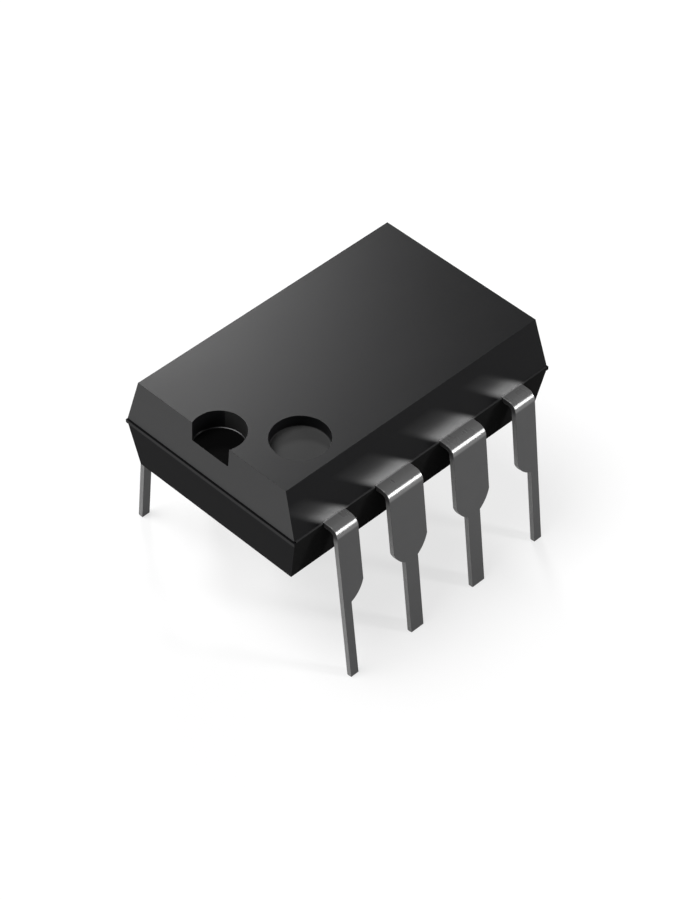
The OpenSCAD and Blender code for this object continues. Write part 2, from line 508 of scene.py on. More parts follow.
@dataclass(frozen=True)
class ShearedTin(Finish):
    """Tin plate over the sheared edges of the strip, paler and duller than over its faces.

    The paleness is partly a duller finish and partly painted light, for the bright table that the
    edges mirror.

    Attributes:
        torn: The colour between the lines that the punch leaves.
        burnished: The colour of the lines.
        painted_reflection: The colour higher up the edges, a painted reflection; darker where the
            edges between two leads mirror the shade under the body.
        shaded_bend: The colour at the bend, painted shade for the dark that the bends' sides
            mirror.
        grain: The width of the lines, in millimetres.
        relief: Their depth, in millimetres.
        reflection_z: The heights between which the painted reflection sets in.
        bend_shading_z: The heights between which the painted shade at the bend does.
    """

    name: str = "sheared_tin"
    torn: Colour = grey(0.16)
    burnished: Colour = grey(0.22)
    painted_reflection: Colour = grey(0.19)
    shaded_bend: Colour = grey(0.02)
    grain: float = 0.035
    relief: float = 0.0015
    reflection_z: tuple[float, float] = (3.0, 5.0)
    bend_shading_z: tuple[float, float] = (5.05, 5.3)

    def shader(self, graph: Graph) -> Signal:
        """Adds the fine upright lines that a punch leaves, a painted reflection higher up and
        painted shade at the bend.

        Args:
            graph: The material's nodes.

        Returns:
            The shader.
        """
        at = graph.place()
        lines = graph.noise(at, self.grain, often=(1.0, 1.0, 0.15))
        z = graph.axes(at)[2]
        leg = graph.blend(lines, self.torn, self.burnished)
        # Painted reflection higher up the edges, darker between two leads for the shade that they
        # mirror.
        leg = graph.blend(graph.rise(z, *self.reflection_z), leg, self.painted_reflection)
        # Painted shade at the bend, for the dark that the bends' sides mirror.
        return graph.principled(
            graph.blend(graph.rise(z, *self.bend_shading_z), leg, self.shaded_bend),
            0.42 + 0.14 * lines,
            0.3,
            normal=graph.bump(lines, self.relief),
        )


@dataclass(frozen=True)
class BareCopper(Finish):
    """Rolled copper alloy with the fine lines of the rolls.

    Attributes:
        colour: The colour between the lines.
        bright: The colour of the lines.
        grain: The width of the lines, in millimetres.
        relief: Their depth, in millimetres.
    """

    name: str = "bare_copper"
    colour: Colour = (0.62, 0.33, 0.2)
    bright: Colour = (0.76, 0.46, 0.3)
    grain: float = 0.03
    relief: float = 0.001

    def shader(self, graph: Graph) -> Signal:
        """Adds lines along X, the way that the strip was rolled.

        Args:
            graph: The material's nodes.

        Returns:
            The shader.
        """
        lines = graph.noise(graph.place(), self.grain, often=(0.05, 1.0, 1.0))
        return graph.principled(
            graph.blend(lines, self.colour, self.bright),
            0.26 + 0.16 * lines,
            1.0,
            normal=graph.bump(lines, self.relief),
        )


@dataclass(frozen=True)
class SilverEpoxy(Finish):
    """Cured adhesive full of silver flakes.

    Attributes:
        resin: The colour between the flakes.
        flake: The colour of the flakes.
        grain: The size of a flake, in millimetres.
        relief: How far it stands out, in millimetres.
    """

    name: str = "silver_epoxy"
    resin: Colour = (0.42, 0.42, 0.4)
    flake: Colour = (0.72, 0.72, 0.7)
    grain: float = 0.02
    relief: float = 0.002

    def shader(self, graph: Graph) -> Signal:
        """Adds the flakes, as cells that are more metallic than the resin between them.

        Args:
            graph: The material's nodes.

        Returns:
            The shader.
        """
        sockets = {"Vector": graph.scaled(graph.place(), self.grain), "Scale": 1.0}
        cells = graph.node("ShaderNodeTexVoronoi", sockets=sockets)
        return graph.principled(
            graph.blend(cells, self.flake, self.resin),
            0.4 + 0.2 * cells,
            0.8 - 0.5 * cells,
            normal=graph.bump(cells, self.relief),
        )


@dataclass(frozen=True)
class PolishedSilicon(Finish):
    """A passivated die, with a fine lattice of cells and tracks in its face.

    Attributes:
        field_colour: The colour of the cells.
        track_colour: The colour of the tracks between them.
        cell: Twice the width of a cell, and four times its height, in millimetres.
        track: How far a track reaches into the cells beside it, where that length is 1.
    """

    name: str = "polished_silicon"
    field_colour: Colour = (0.07, 0.09, 0.13)
    track_colour: Colour = (0.2, 0.21, 0.19)
    cell: float = 0.12
    track: float = 0.06

    def shader(self, graph: Graph) -> Signal:
        """Adds the lattice from blocks of equal cells.

        Args:
            graph: The material's nodes.

        Returns:
            The shader.
        """
        sockets = {"Vector": graph.scaled(graph.place(), self.cell), "Scale": 1.0}
        sockets["Mortar Size"] = self.track
        tracks = graph.node("ShaderNodeTexBrick", sockets=sockets, output="Fac")
        colour = graph.blend(tracks, self.field_colour, self.track_colour)
        return graph.principled(colour, 0.22 - 0.1 * tracks, 0.4)


@dataclass(frozen=True)
class GoldWire(Finish):
    """Drawn gold.

    Attributes:
        colour: The colour where the wire is dullest.
        bright: The colour where it is brightest.
        grain: The size of its uneven patches, in millimetres.
    """

    name: str = "gold_wire"
    colour: Colour = (0.86, 0.58, 0.2)
    bright: Colour = (0.95, 0.72, 0.33)
    grain: float = 0.03

    def shader(self, graph: Graph) -> Signal:
        """Adds the faint unevenness of a drawn wire.

        Args:
            graph: The material's nodes.

        Returns:
            The shader.
        """
        uneven = graph.noise(graph.place(), self.grain)
        colour = graph.blend(uneven, self.colour, self.bright)
        return graph.principled(colour, 0.2 + 0.12 * uneven, 1.0)


@dataclass(frozen=True)
class PaleTable(Finish):
    """A plain pale table top, which shows as white wherever the object doesn't shade it.

    Attributes:
        colour: The colour that it has for the light that falls on it.
        glow: How much of it is even white when it is seen, which thins the object's shadow.
    """

    name: str = "pale_table"
    colour: Colour = grey(0.9)
    glow: float = 0.7

    def shader(self, graph: Graph) -> Signal:
        """Adds a matte surface, which takes the object's shadow, and its even white.

        Args:
            graph: The material's nodes.

        Returns:
            The shader.
        """
        matte = graph.node("ShaderNodeBsdfDiffuse", sockets={"Color": (*self.colour, 1.0)})
        white = graph.node("ShaderNodeEmission", sockets={"Strength": 1.0})
        ray = graph.node("ShaderNodeLightPath", output="Is Camera Ray")
        seen = ray + ray.beside("Is Glossy Ray") + ray.beside("Is Transmission Ray")
        factor = seen.clamped() * self.glow
        return graph.node("ShaderNodeMixShader", sockets={0: factor, 1: matte, 2: white})


# Meshes


def taken(build: bmesh.types.BMesh) -> bpy.types.Mesh:
    """Turns a bmesh to a mesh and frees it.

    Args:
        build: The bmesh.

    Returns:
        The mesh, in the same unit.
    """
    mesh = bpy.data.meshes.new("work")
    build.to_mesh(mesh)
    build.free()
    return mesh


def round_bar(radius: float, low: Vector, height: float, steps: int = 72) -> bpy.types.Mesh:
    """Makes an upright cylinder to cut with.

    Args:
        radius: Its radius.
        low: The middle of its lower face.
        height: Its height.
        steps: How many faces go round it.

    Returns:
        The cylinder's mesh.
    """
    build = bmesh.new()
    bmesh.ops.create_cone(
        build,
        cap_ends=True,
        cap_tris=False,
        segments=steps,
        radius1=radius,
        radius2=radius,
        depth=height,
        matrix=Matrix.Translation(low + Vector((0, 0, height / 2))),
    )
    return taken(build)


def block(low: Vector, high: Vector) -> bpy.types.Mesh:
    """Makes an upright block to cut with.

    Args:
        low: One of its corners.
        high: The corner opposite.

    Returns:
        The block's mesh.
    """
    build = bmesh.new()
    bmesh.ops.create_cube(build, size=1.0)
    bmesh.ops.scale(build, vec=[abs(side) for side in high - low], verts=build.verts)
    bmesh.ops.translate(build, vec=(low + high) / 2, verts=build.verts)
    return taken(build)


def carved(blank: bpy.types.Mesh, cutters: Iterable[bpy.types.Mesh]) -> bmesh.types.BMesh:
    """Cuts solids out of a blank.

    Args:
        blank: The solid that is cut.
        cutters: The solids that it is cut by.

    Returns:
        A bmesh of what is left.
    """
    host = bpy.data.objects.new("blank", blank)
    helpers = [bpy.data.objects.new("cutter", cutter) for cutter in cutters]
    for helper in (host, *helpers):
        bpy.context.collection.objects.link(helper)
    for helper in helpers:
        cut = host.modifiers.new("cut", "BOOLEAN")
        cut.operation = "DIFFERENCE"
        cut.solver = "EXACT"
        cut.object = helper
    shape = host.evaluated_get(bpy.context.evaluated_depsgraph_get())
    build = bmesh.new()
    build.from_mesh(shape.to_mesh())
    shape.to_mesh_clear()
    for helper in (host, *helpers):
        bpy.data.objects.remove(helper)
    return build


def soften(
    build: bmesh.types.BMesh, edges: list[bmesh.types.BMEdge], radius: float, steps: int
) -> None:
    """Rounds edges, and keeps the shading of the faces beside them flat.

    Args:
        build: The bmesh that the edges are in.
        edges: The edges.
        radius: How far the rounding reaches from an edge, in millimetres.
        steps: How many faces go round it.
    """
    rounded = bmesh.ops.bevel(
        build,
        geom=edges,
        offset=radius,
        offset_type="OFFSET",
        segments=steps,
        profile=0.5,
        affect="EDGES",
        clamp_overlap=True,
        material=-1,
        loop_slide=True,
    )
    fresh = set(rounded["faces"])
    for edge in {edge for face in fresh for edge in face.edges}:
        edge.smooth = edge.smooth and all(face in fresh for face in edge.link_faces)


def corners(build: bmesh.types.BMesh, least: float = 30.0) -> list[bmesh.types.BMEdge]:
    """Lists the edges at which the surface turns by more than so many degrees."""
    turn = math.radians(least)
    return [edge for edge in build.edges if edge.is_manifold and edge.calc_face_angle() > turn]


def join_flats(build: bmesh.types.BMesh) -> None:
    """Joins the faces that lie in one plane, and drops the points that are at no corner.

    A limited dissolve does this too, but it leaves other points from one run to the next.

    Args:
        build: The bmesh.
    """
    turn = math.radians(FLAT_TURN)
    build.normal_update()
    flat = [edge for edge in build.edges if edge.is_manifold and edge.calc_face_angle() < turn]
    bmesh.ops.dissolve_edges(build, edges=flat, use_verts=False, use_face_split=False)
    pairs = [vert for vert in build.verts if len(vert.link_edges) == 2]
    spare = [vert for vert in pairs if vert.calc_edge_angle() < turn]
    bmesh.ops.dissolve_verts(build, verts=spare, use_face_split=False, use_boundary_tear=False)


def piece(
    name: str, build: bmesh.types.BMesh, lift: float, finishes: Iterable[Finish]
) -> bpy.types.Object:
    """Turns a finished bmesh to a piece of the object, in place and in metres.

    Args:
        name: The piece's name.
        build: The bmesh, in millimetres about the parting plane.
        lift: The height of the parting plane, in millimetres.
        finishes: What dresses it, in the order of its faces' material numbers.

    Returns:
        The piece, which rides on the frame's one body.
    """
    bmesh.ops.remove_doubles(build, verts=build.verts, dist=MERGE_DISTANCE)
    bmesh.ops.recalc_face_normals(build, faces=build.faces)
    bmesh.ops.translate(build, vec=(0, 0, lift), verts=build.verts)
    bmesh.ops.scale(build, vec=(MM, MM, MM), verts=build.verts)
    for face in build.faces:
        face.smooth = True
    for edge in corners(build, SHARP_TURN):
        edge.smooth = False
    mesh = taken(build)
    mesh.name = name
    for finish in finishes:
        mesh.materials.append(finish.material())
    made = bpy.data.objects.new(name, mesh)
    bpy.context.collection.objects.link(made)
    shading = made.modifiers.new("even_shading", "WEIGHTED_NORMAL")
    shading.weight = 50
    shading.thresh = 0.0
    shading.keep_sharp = True
    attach(made, "root")
    return made


# Sub-assemblies


@dataclass
class FrameSizes:
    """Sizes in millimetres that the pieces share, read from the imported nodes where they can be.

    Attributes:
        sheet: The thickness of the lead-frame sheet.
        band_half: Half the height of the parting band.
        band: Half the length, the width and the height of that band.
        parting: The height of the parting plane above the lead tips.
        top: The height of the top above the parting plane.
        underside: The depth of the underside below it.
    """

    sheet: float = 0.2
    band_half: float = 0.1
    band: Vector = field(init=False)
    parting: float = field(init=False)
    top: float = field(init=False)
    underside: float = field(init=False)

    def __post_init__(self) -> None:
        """Reads the boxes of the body and of the first lead."""
        low, high = (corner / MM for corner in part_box("package_body"))
        self.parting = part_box("lead_1")[1].z / MM - self.sheet / 2
        self.band = Vector((high.x, high.y, self.band_half))
        self.top = high.z - self.parting
        self.underside = self.parting - low.z


class Region(Enum):
    """Regions of the body, each a copy of the one resin set lighter or darker for how light falls
    there: painted light and shade.
    """

    TOP = 0
    END = 1
    SIDE = 2
    LOWER_END = 3
    LOWER_SIDE = 4
    PIT = 5
    DIMPLE = 6
    COVE = 7
    WALL = 8
    LIP = 9


@dataclass
class MouldedBody:
    """The two moulded halves with their parting band, notch, dimple and ejector-pin marks.

    Lengths are in millimetres, and drafts in degrees.

    Attributes:
        frame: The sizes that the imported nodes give.
        band_proud: How far the parting band stands out of the faces.
        upper_drafts: The drafts of the upper half's end and long faces.
        lower_drafts: The drafts of the lower half's end and long faces.
        notch_radius: The radius of the notch.
        notch_setback: How far its centre lies inside the end of the top.
        notch_depth: Its depth.
        dimple_radius: The radius of the dimple.
        dimple_depth: Its depth.
        dimple_inset: How far its centre lies inside the end and the side of the top.
        ejector_radius: The radius of the ejector-pin marks.
        ejector_depth: Their depth.
        ejector_spacing: The distance between their centres.
        edge_radius: The radius of the halves' edges.
        band_radius: The width of the chamfer along the band's long rims.
        rim_turn: The least turn of such a rim, in degrees.
        seam_depth: How deep the seam is cut into the band's ends, from the foot of the halves.
        seam_height: How far it is cut down from the band's upper face.
        cove_radius: The radius round the floors of the notch and the dimple.
        face_reach: How far in from the band the upper half's drafted faces can lie.
        lower_share: The share of the band's half height up to which a face is of the lower half.
        past: How far a cutter reaches past what it cuts.
    """

    frame: FrameSizes
    band_proud: float = 0.04
    upper_drafts: tuple[float, float] = (4.0, 15.0)
    lower_drafts: tuple[float, float] = (5.0, 11.0)
    notch_radius: float = 0.81
    notch_setback: float = 0.3
    notch_depth: float = 0.64
    dimple_radius: float = 0.88
    dimple_depth: float = 0.41
    dimple_inset: tuple[float, float] = (1.71, 1.22)
    ejector_radius: float = 0.7
    ejector_depth: float = 0.06
    ejector_spacing: float = 5.6
    edge_radius: float = 0.025
    band_radius: float = 0.037
    rim_turn: float = 60.0
    seam_depth: float = 0.04
    seam_height: float = 0.045
    cove_radius: float = 0.04
    face_reach: float = 0.5
    lower_share: float = 0.6
    past: float = 1.0

    def _half(
        self,
        build: bmesh.types.BMesh,
        face: bmesh.types.BMFace,
        reach: float,
        drafts: tuple[float, float],
    ) -> Vector:
        """Draws one drafted half out of a face of the band.

        Args:
            build: The bmesh that the band is in.
            face: The band's upper or lower face.
            reach: How far the half stands out of it.
            drafts: The drafts of its end and long faces.

        Returns:
            The corner of the half's flat face.
        """
        bmesh.ops.inset_region(build, faces=[face], thickness=self.band_proud, use_even_offset=True)
        flat = bmesh.ops.extrude_discrete_faces(build, faces=[face])["faces"][0]
        foot = self.frame.band - Vector((self.band_proud, self.band_proud, -reach))
        corner = foot - Vector([reach * math.tan(math.radians(draft)) for draft in drafts] + [0])
        bmesh.ops.scale(build, vec=(corner.x / foot.x, corner.y / foot.y, 1), verts=flat.verts)
        bmesh.ops.translate(build, vec=flat.normal * reach, verts=flat.verts)
        return corner

    def _halves(self) -> tuple[bpy.types.Mesh, Vector]:
        """Builds the band with its two halves, without their marks.

        Returns:
            The mesh, and the corner of the top.
        """
        build = bmesh.new()
        bmesh.ops.create_cube(build, size=2.0)
        bmesh.ops.scale(build, vec=self.frame.band, verts=build.verts)
        build.normal_update()
        ends = {round(face.normal.z): face for face in build.faces if abs(face.normal.z) > MAINLY}
        corner = self._half(build, ends[1], self.frame.top - self.frame.band.z, self.upper_drafts)
        self._half(build, ends[-1], self.frame.underside - self.frame.band.z, self.lower_drafts)
        return taken(build), corner

    def _cutters(self, corner: Vector) -> list[bpy.types.Mesh]:
        """Makes what cuts the notch, the dimple, the ejector-pin marks and the seam.

        Args:
            corner: The corner of the top.

        Returns:
            The cutters.
        """
        band = self.frame.band
        notch = Vector((self.notch_setback - corner.x, 0, corner.z - self.notch_depth))
        inset = Vector((*self.dimple_inset, -self.dimple_depth))
        dimple = inset + Vector((-corner.x, -corner.y, corner.z))
        made = [
            round_bar(self.notch_radius, notch, self.notch_depth + self.past),
            round_bar(self.dimple_radius, dimple, self.dimple_depth + self.past),
        ]
        for side in (-1, 1):
            low = Vector((side * self.ejector_spacing / 2, 0, -self.frame.underside - self.past))
            made.append(round_bar(self.ejector_radius, low, self.past + self.ejector_depth))
        seam_x = band.x - self.band_proud - self.seam_depth
        for side in (-1, 1):
            low = Vector((side * seam_x, -self.past - band.y, band.z - self.seam_height))
            high = Vector((side * (seam_x + self.past), self.past + band.y, band.z + SLIVER))
            made.append(block(low, high))
        return made

    def mesh(self) -> bmesh.types.BMesh:
        """Builds the body with its marks cut and its edges rounded.

        Returns:
            The body, with its faces numbered by region.
        """
        blank, corner = self._halves()
        build = carved(blank, self._cutters(corner))
        halves = [edge for edge in corners(build) if self._is_beyond_band(edge)]
        coves = [edge for edge in halves if edge.calc_face_angle_signed() < 0]
        soften(build, coves, self.cove_radius, steps=4)
        halves = [edge for edge in corners(build) if self._is_beyond_band(edge)]
        soften(build, halves, self.edge_radius, steps=3)
        rims = [edge for edge in corners(build, self.rim_turn) if self._is_rim(edge)]
        soften(build, rims, self.band_radius, steps=1)
        build.normal_update()
        for face in build.faces:
            face.material_index = self._region(face).value
        return build

    def _region(self, face: bmesh.types.BMFace) -> Region:
        """Tells which region a face is in.

        Args:
            face: The face, of the finished body.

        Returns:
            Its region.
        """
        at, normal, band = face.calc_center_median(), face.normal, self.frame.band
        if abs(at.z) < band.z and abs(normal.x) > SQUARE:
            return Region.LIP
        if at.z < band.z * self.lower_share:
            return Region.LOWER_SIDE if abs(normal.y) > NEARLY_SQUARE else Region.LOWER_END
        marks = (
            (self.notch_depth, Region.PIT, Region.COVE),
            (self.dimple_depth, Region.DIMPLE, Region.DIMPLE),
        )
        for depth, floor, cove in marks:
            off_floor = abs(at.z - self.frame.top + depth)
            if off_floor < ON_PLANE and normal.z > LEVEL:
                return floor
            is_inside = abs(at.y) < band.y - self.face_reach and normal.z > BARELY
            if off_floor < self.cove_radius and is_inside:
                return cove
        is_in_notch = abs(at.y) < self.notch_radius and abs(at.x) < band.x - self.notch_radius
        if normal.x < -NEARLY_SQUARE and is_in_notch:
            return Region.WALL
        if abs(normal.y) > LEANING and abs(at.y) > band.y - self.face_reach:
            return Region.SIDE
        is_end = abs(normal.x) > SQUARE and abs(at.x) > band.x - self.face_reach / 2
        return Region.END if is_end else Region.TOP

    def _is_rim(self, edge: bmesh.types.BMEdge) -> bool:
        """Tells whether an edge is one of the band's long upper or lower rims.

        Args:
            edge: The edge.

        Returns:
            Whether both its ends are on such a rim.
        """
        band = self.frame.band
        return all(
            abs(vert.co.y) > band.y - ON_PLANE and abs(abs(vert.co.z) - band.z) < ON_PLANE
            for vert in edge.verts
        )

    def _is_beyond_band(self, edge: bmesh.types.BMEdge) -> bool:
        """Tells whether an edge reaches further from the parting plane than the band."""
        return any(abs(vert.co.z) > self.frame.band.z + 2 * SLIVER for vert in edge.verts)

    def build(self) -> bpy.types.Object:
        """Makes the body's piece, which stands for its node.

        Returns:
            The piece.
        """
        foot = self.frame.parting + self.frame.band.z
        # Painted light and shade: near black in the notch for its shade, pale on the dimple's floor
        # and the notch's walls for light.
        black, pit = (grey(0.0075), grey(0.0115)), (grey(0.002), grey(0.003))
        dimple, wall = (grey(0.044), grey(0.05)), (grey(0.02), grey(0.026))
        finishes = {
            Region.TOP: MouldedEpoxy(gloss=0.15),
            Region.END: MouldedEpoxy("end_epoxy", gloss=0.3),
            Region.SIDE: FlaredEpoxy("side_epoxy", gloss=0.05, foot=foot),
            Region.LOWER_END: MouldedEpoxy("dull_epoxy", roughness=0.5, gloss=0.02),
            # Painted shade: a copy of the resin without gloss, which keeps the lower long faces
            # dark.
            Region.LOWER_SIDE: MouldedEpoxy("shaded_lower_side_epoxy", *black, roughness=0.6, gloss=0.0),
            # Painted shade: the notch's floor is painted near black, for the shade that fills it.
            Region.PIT: MouldedEpoxy("shaded_pit_epoxy", *pit, roughness=0.6, gloss=0.01),
            # Painted light: the dimple's floor is painted pale, with little gloss, to show as
            # bright as the lit top.
            Region.DIMPLE: MouldedEpoxy("lit_dimple_epoxy", *dimple, roughness=0.46, gloss=0.02),
            Region.COVE: MouldedEpoxy("cove_epoxy", roughness=0.3, gloss=0.6),
            # Painted light: the notch's walls that face -X are painted paler, for the light that
            # reaches them.
            Region.WALL: MouldedEpoxy("lit_wall_epoxy", *wall, gloss=0.2),
            Region.LIP: MouldedEpoxy("lip_epoxy", gloss=0.08),
        }
        dressed = [finishes[region] for region in Region]
        made = piece("moulded_body", self.mesh(), self.frame.parting, dressed)
        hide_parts("package_body")
        return made


class SheetFace(Enum):
    """The faces of a formed lead that have finishes of their own."""

    OUTER = 0
    OPEN_EDGE = 1
    CUT_EDGE = 2
    INNER = 3


class LeadKind(Enum):
    """The two shapes that a lead is stamped to."""

    END = "end"
    MIDDLE = "middle"


class Blank:
    """A flat blank, drawn point by point, then stamped from sheet and bent.

    The blank lies in the XY plane with its bend line on the X axis. Its +Y part stays flat.
    Lengths are in millimetres.
    """

    def __init__(self, x: float, y: float) -> None:
        """Starts the outline at a point, so far along the bend line and from it."""
        self.build = bmesh.new()
        self.first = self.last = self.build.verts.new((x, y, 0))

    def line(self, *points: tuple[float, float]) -> None:
        """Draws straight on to each of the points.

        Args:
            points: The points, each so far along the bend line and from it.
        """
        for point in points:
            drawn = self.build.verts.new((*point, 0))
            self.build.edges.new((self.last, drawn))
            self.last = drawn

    def arc(self, x: float, y: float, angle: float, steps: int = 10) -> None:
        """Draws on round a centre.

        Args:
            x: The centre's place along the bend line.
            y: Its distance from the bend line.
            angle: The turn, in degrees, counter-clockwise if it is above 0.
            steps: How many straight stretches stand for it.
        """
        turned = bmesh.ops.spin(
            self.build,
            geom=[self.last],
            cent=(x, y, 0),
            axis=(0, 0, 1),
            angle=math.radians(angle),
            steps=steps,
        )
        ends = (part for part in turned["geom_last"] if isinstance(part, bmesh.types.BMVert))
        self.last = next(ends)

    def close(self) -> None:
        """Joins the outline's ends."""
        self.build.edges.new((self.last, self.first))

    def hole(self, x: float, y: float, diameter: float, steps: int = 24) -> None:
        """Draws a round hole.

        Args:
            x: Its centre's place along the bend line.
            y: The centre's distance from the bend line.
            diameter: Its diameter.
            steps: How many straight stretches stand for it.
        """
        bmesh.ops.create_circle(
            self.build,
            cap_ends=False,
            segments=steps,
            radius=diameter / 2,
            matrix=Matrix.Translation((x, y, 0)),
        )

    def stamp(
        self, upper: float, thickness: float, cuts: Iterable[float], has_open_edge: bool
    ) -> None:
        """Fills the outline, gives it its thickness, and numbers its faces.

        Args:
            upper: The height of its upper face.
            thickness: The sheet's thickness.
            cuts: The distances from the bend line at which the sheet is divided across.
            has_open_edge: Whether its -X edge has no other lead beside it.
        """
        build = self.build
        bmesh.ops.triangle_fill(build, use_beauty=True, use_dissolve=False, edges=build.edges)
        for cut in cuts:
            bmesh.ops.bisect_plane(
                build,
                geom=[*build.verts, *build.edges, *build.faces],
                dist=CUT_DISTANCE,
                plane_co=(0, cut, 0),
                plane_no=(0, 1, 0),
            )
        raised = bmesh.ops.extrude_face_region(build, geom=list(build.faces))["geom"]
        moved = [part for part in raised if isinstance(part, bmesh.types.BMVert)]
        bmesh.ops.translate(build, vec=(0, 0, thickness), verts=moved)
        bmesh.ops.translate(build, vec=(0, 0, upper - thickness), verts=build.verts)
        bmesh.ops.recalc_face_normals(build, faces=build.faces)
        for face in build.faces:
            is_open = has_open_edge and face.normal.x < -MAINLY
            kind = SheetFace.OPEN_EDGE if is_open else SheetFace.CUT_EDGE
            if abs(face.normal.z) > MAINLY:
                kind = SheetFace.OUTER if face.normal.z > 0 else SheetFace.INNER
            face.material_index = kind.value

    def bend(self, zone: float, steps: int, angle: float, axis_z: float) -> None:
        """Bends what lies beyond the bend line down, row by row.

        Args:
            zone: How much of the blank, beyond the line, the bend takes up.
            steps: How many rows the zone is divided into.
            angle: The bend, in degrees.
            axis_z: The height of the axis that it turns about.
        """
        rows: dict[int, list[bmesh.types.BMVert]] = {}
        for vert in self.build.verts:
            rows.setdefault(min(steps, round(-vert.co.y * steps / zone)), []).append(vert)
        for row, verts in rows.items():
            if row > 0:
                share = row / steps
                turn = Matrix.Rotation(math.radians(angle) * share, 3, "X")
                bmesh.ops.translate(self.build, vec=(0, zone * share, 0), verts=verts)
                bmesh.ops.rotate(self.build, cent=(0, 0, axis_z), matrix=turn, verts=verts)


@dataclass
class LeadFrame:
    """The eight leads, stamped to two shapes and formed.

    Lengths are in millimetres, and angles in degrees. Places are those of the leads at -X of the
    +Y row, taken from the body's middle.

    Attributes:
        frame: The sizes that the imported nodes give.
        pitch: The distance from one lead to the next along a row.
        row_count: How many leads there are in a row.
        bend_y: The distance from the body's middle to the bend line.
        bend_radius: The inside radius of the bend.
        bend_angle: The angle that the legs are bent down by.
        bend_steps: How many flat strips stand for the bend.
        bend_zone: How much of the blank the bend takes up.
        wide_half: Half the width of the wide part.
        wide_length: The length of the wide part, from the bend down.
        shoulder_drop: The length of a shoulder, from the wide part down to the narrow one.
        shoulder_turn: The corner at which a shoulder starts.
        tip_length: The length of a leg below its wide part.
        tip_half: Half the width of a middle lead's tip.
        end_tip_half: Half the width of an end lead's tip.
        root_end: Where the wide part ends inside the body.
        finger_half: Half the width of the fingers.
        middle_fingertip: Where the finger of a middle lead ends.
        end_fingertip: Where that of an end lead ends.
        finger_return: The length of the stretch of an end lead's finger beside the paddle.
        lock_hole: The diameter of the hole in each root.
        hole_y: Where the hole is.
        edge_radius: The radius of the sheared edges.
        edge_turn: The least turn of an edge that is rounded.
        shown_sheet: The thickness that the sheet shows.
    """

    frame: FrameSizes
    pitch: float = 2.54
    row_count: int = 4
    bend_y: float = 3.69
    bend_radius: float = 0.1
    bend_angle: float = 84.0
    bend_steps: int = 14
    bend_zone: float = 0.3
    wide_half: float = 0.665
    wide_length: float = 1.99
    shoulder_drop: float = 0.55
    shoulder_turn: float = 18.0
    tip_length: float = 3.28
    tip_half: float = 0.25
    end_tip_half: float = 0.15
    root_end: float = -2.565
    finger_half: float = 0.25
    middle_fingertip: tuple[float, float] = (-0.75, -1.4)
    end_fingertip: tuple[float, float] = (-2.2, -0.55)
    finger_return: float = 0.75
    lock_hole: float = 0.36
    hole_y: float = -2.99
    edge_radius: float = 0.014
    edge_turn: float = 35.0
    shown_sheet: float = 0.17

    def _centre(self, kind: LeadKind) -> float:
        """Gives the X of the first lead of a kind in its row."""
        return -self.pitch * (self.row_count - 1) / 2 + (0 if kind is LeadKind.END else self.pitch)

    def _draw(self, kind: LeadKind) -> Blank:
        """Draws a lead's outline, with its leg's middle on X 0.

        Args:
            kind: Which of the two shapes is drawn.

        Returns:
            The blank, with its hole.
        """
        is_end, centre = kind is LeadKind.END, self._centre(kind)
        tip = self.end_tip_half if is_end else self.tip_half
        outer = self.end_tip_half if is_end else self.wide_half
        knee = -self.bend_zone - self.wide_length
        foot = knee - self.tip_length
        start = knee - self.shoulder_drop
        step, turn = self.wide_half - tip, math.radians(self.shoulder_turn)
        half_sweep = math.atan2(step, self.shoulder_drop) - turn
        radius = math.hypot(step, self.shoulder_drop) / (2 * math.sin(half_sweep))
        hub = (self.wide_half - radius * math.cos(turn), knee + radius * math.sin(turn))
        sweep = math.degrees(2 * half_sweep)
        root = self.root_end + self.bend_y
        blank = Blank(-tip, foot)
        blank.line((tip, foot), (tip, start))
        blank.arc(*hub, sweep)
        blank.line((self.wide_half, root))
        wide = self.finger_half
        if is_end:
            x, y = self.end_fingertip[0] - centre, self.end_fingertip[1] + self.bend_y
            elbow = y - self.finger_return
            blank.line((x + wide, elbow), (x + wide, y), (x - wide, y), (x - wide, elbow + wide))
            blank.line((self.wide_half - 2 * wide, root), (-outer, root))
        else:
            x, y = self.middle_fingertip[0] - centre, self.middle_fingertip[1] + self.bend_y
            blank.line((wide, root), (x + wide, y), (x - wide, y), (-wide, root), (-outer, root))
            blank.line((-outer, knee))
            blank.arc(-hub[0], hub[1], sweep)
        blank.close()
        blank.hole((self.wide_half - outer) / 2, self.hole_y + self.bend_y, self.lock_hole)
        return blank

    def mesh(self, number: int) -> bmesh.types.BMesh:
        """Builds one lead.

        Args:
            number: The lead's number, from 1.

        Returns:
            Its bmesh, in place about the parting plane.
        """
        in_row = (number - 1) % self.row_count
        kind = LeadKind.END if in_row in (0, self.row_count - 1) else LeadKind.MIDDLE
        blank = self._draw(kind)
        cuts = [-self.bend_zone * step / self.bend_steps for step in range(self.bend_steps + 1)]
        blank.stamp(self.frame.sheet / 2, self.shown_sheet, cuts, kind is LeadKind.END)
        axis_z = -self.frame.sheet / 2 - self.bend_radius
        blank.bend(self.bend_zone, self.bend_steps, self.bend_angle, axis_z)
        build = blank.build
        bmesh.ops.remove_doubles(build, verts=build.verts, dist=ROW_DISTANCE)
        bmesh.ops.recalc_face_normals(build, faces=build.faces)
        join_flats(build)
        soften(build, corners(build, self.edge_turn), self.edge_radius, steps=2)
        bmesh.ops.translate(build, vec=(self._centre(kind), -self.bend_y, 0), verts=build.verts)
        if in_row >= self.row_count / 2:
            bmesh.ops.scale(build, vec=(-1, 1, 1), verts=build.verts)
        if number > self.row_count:
            half_turn = Matrix.Rotation(math.pi, 3, "Z")
            bmesh.ops.rotate(build, cent=(0, 0, 0), matrix=half_turn, verts=build.verts)
        return build

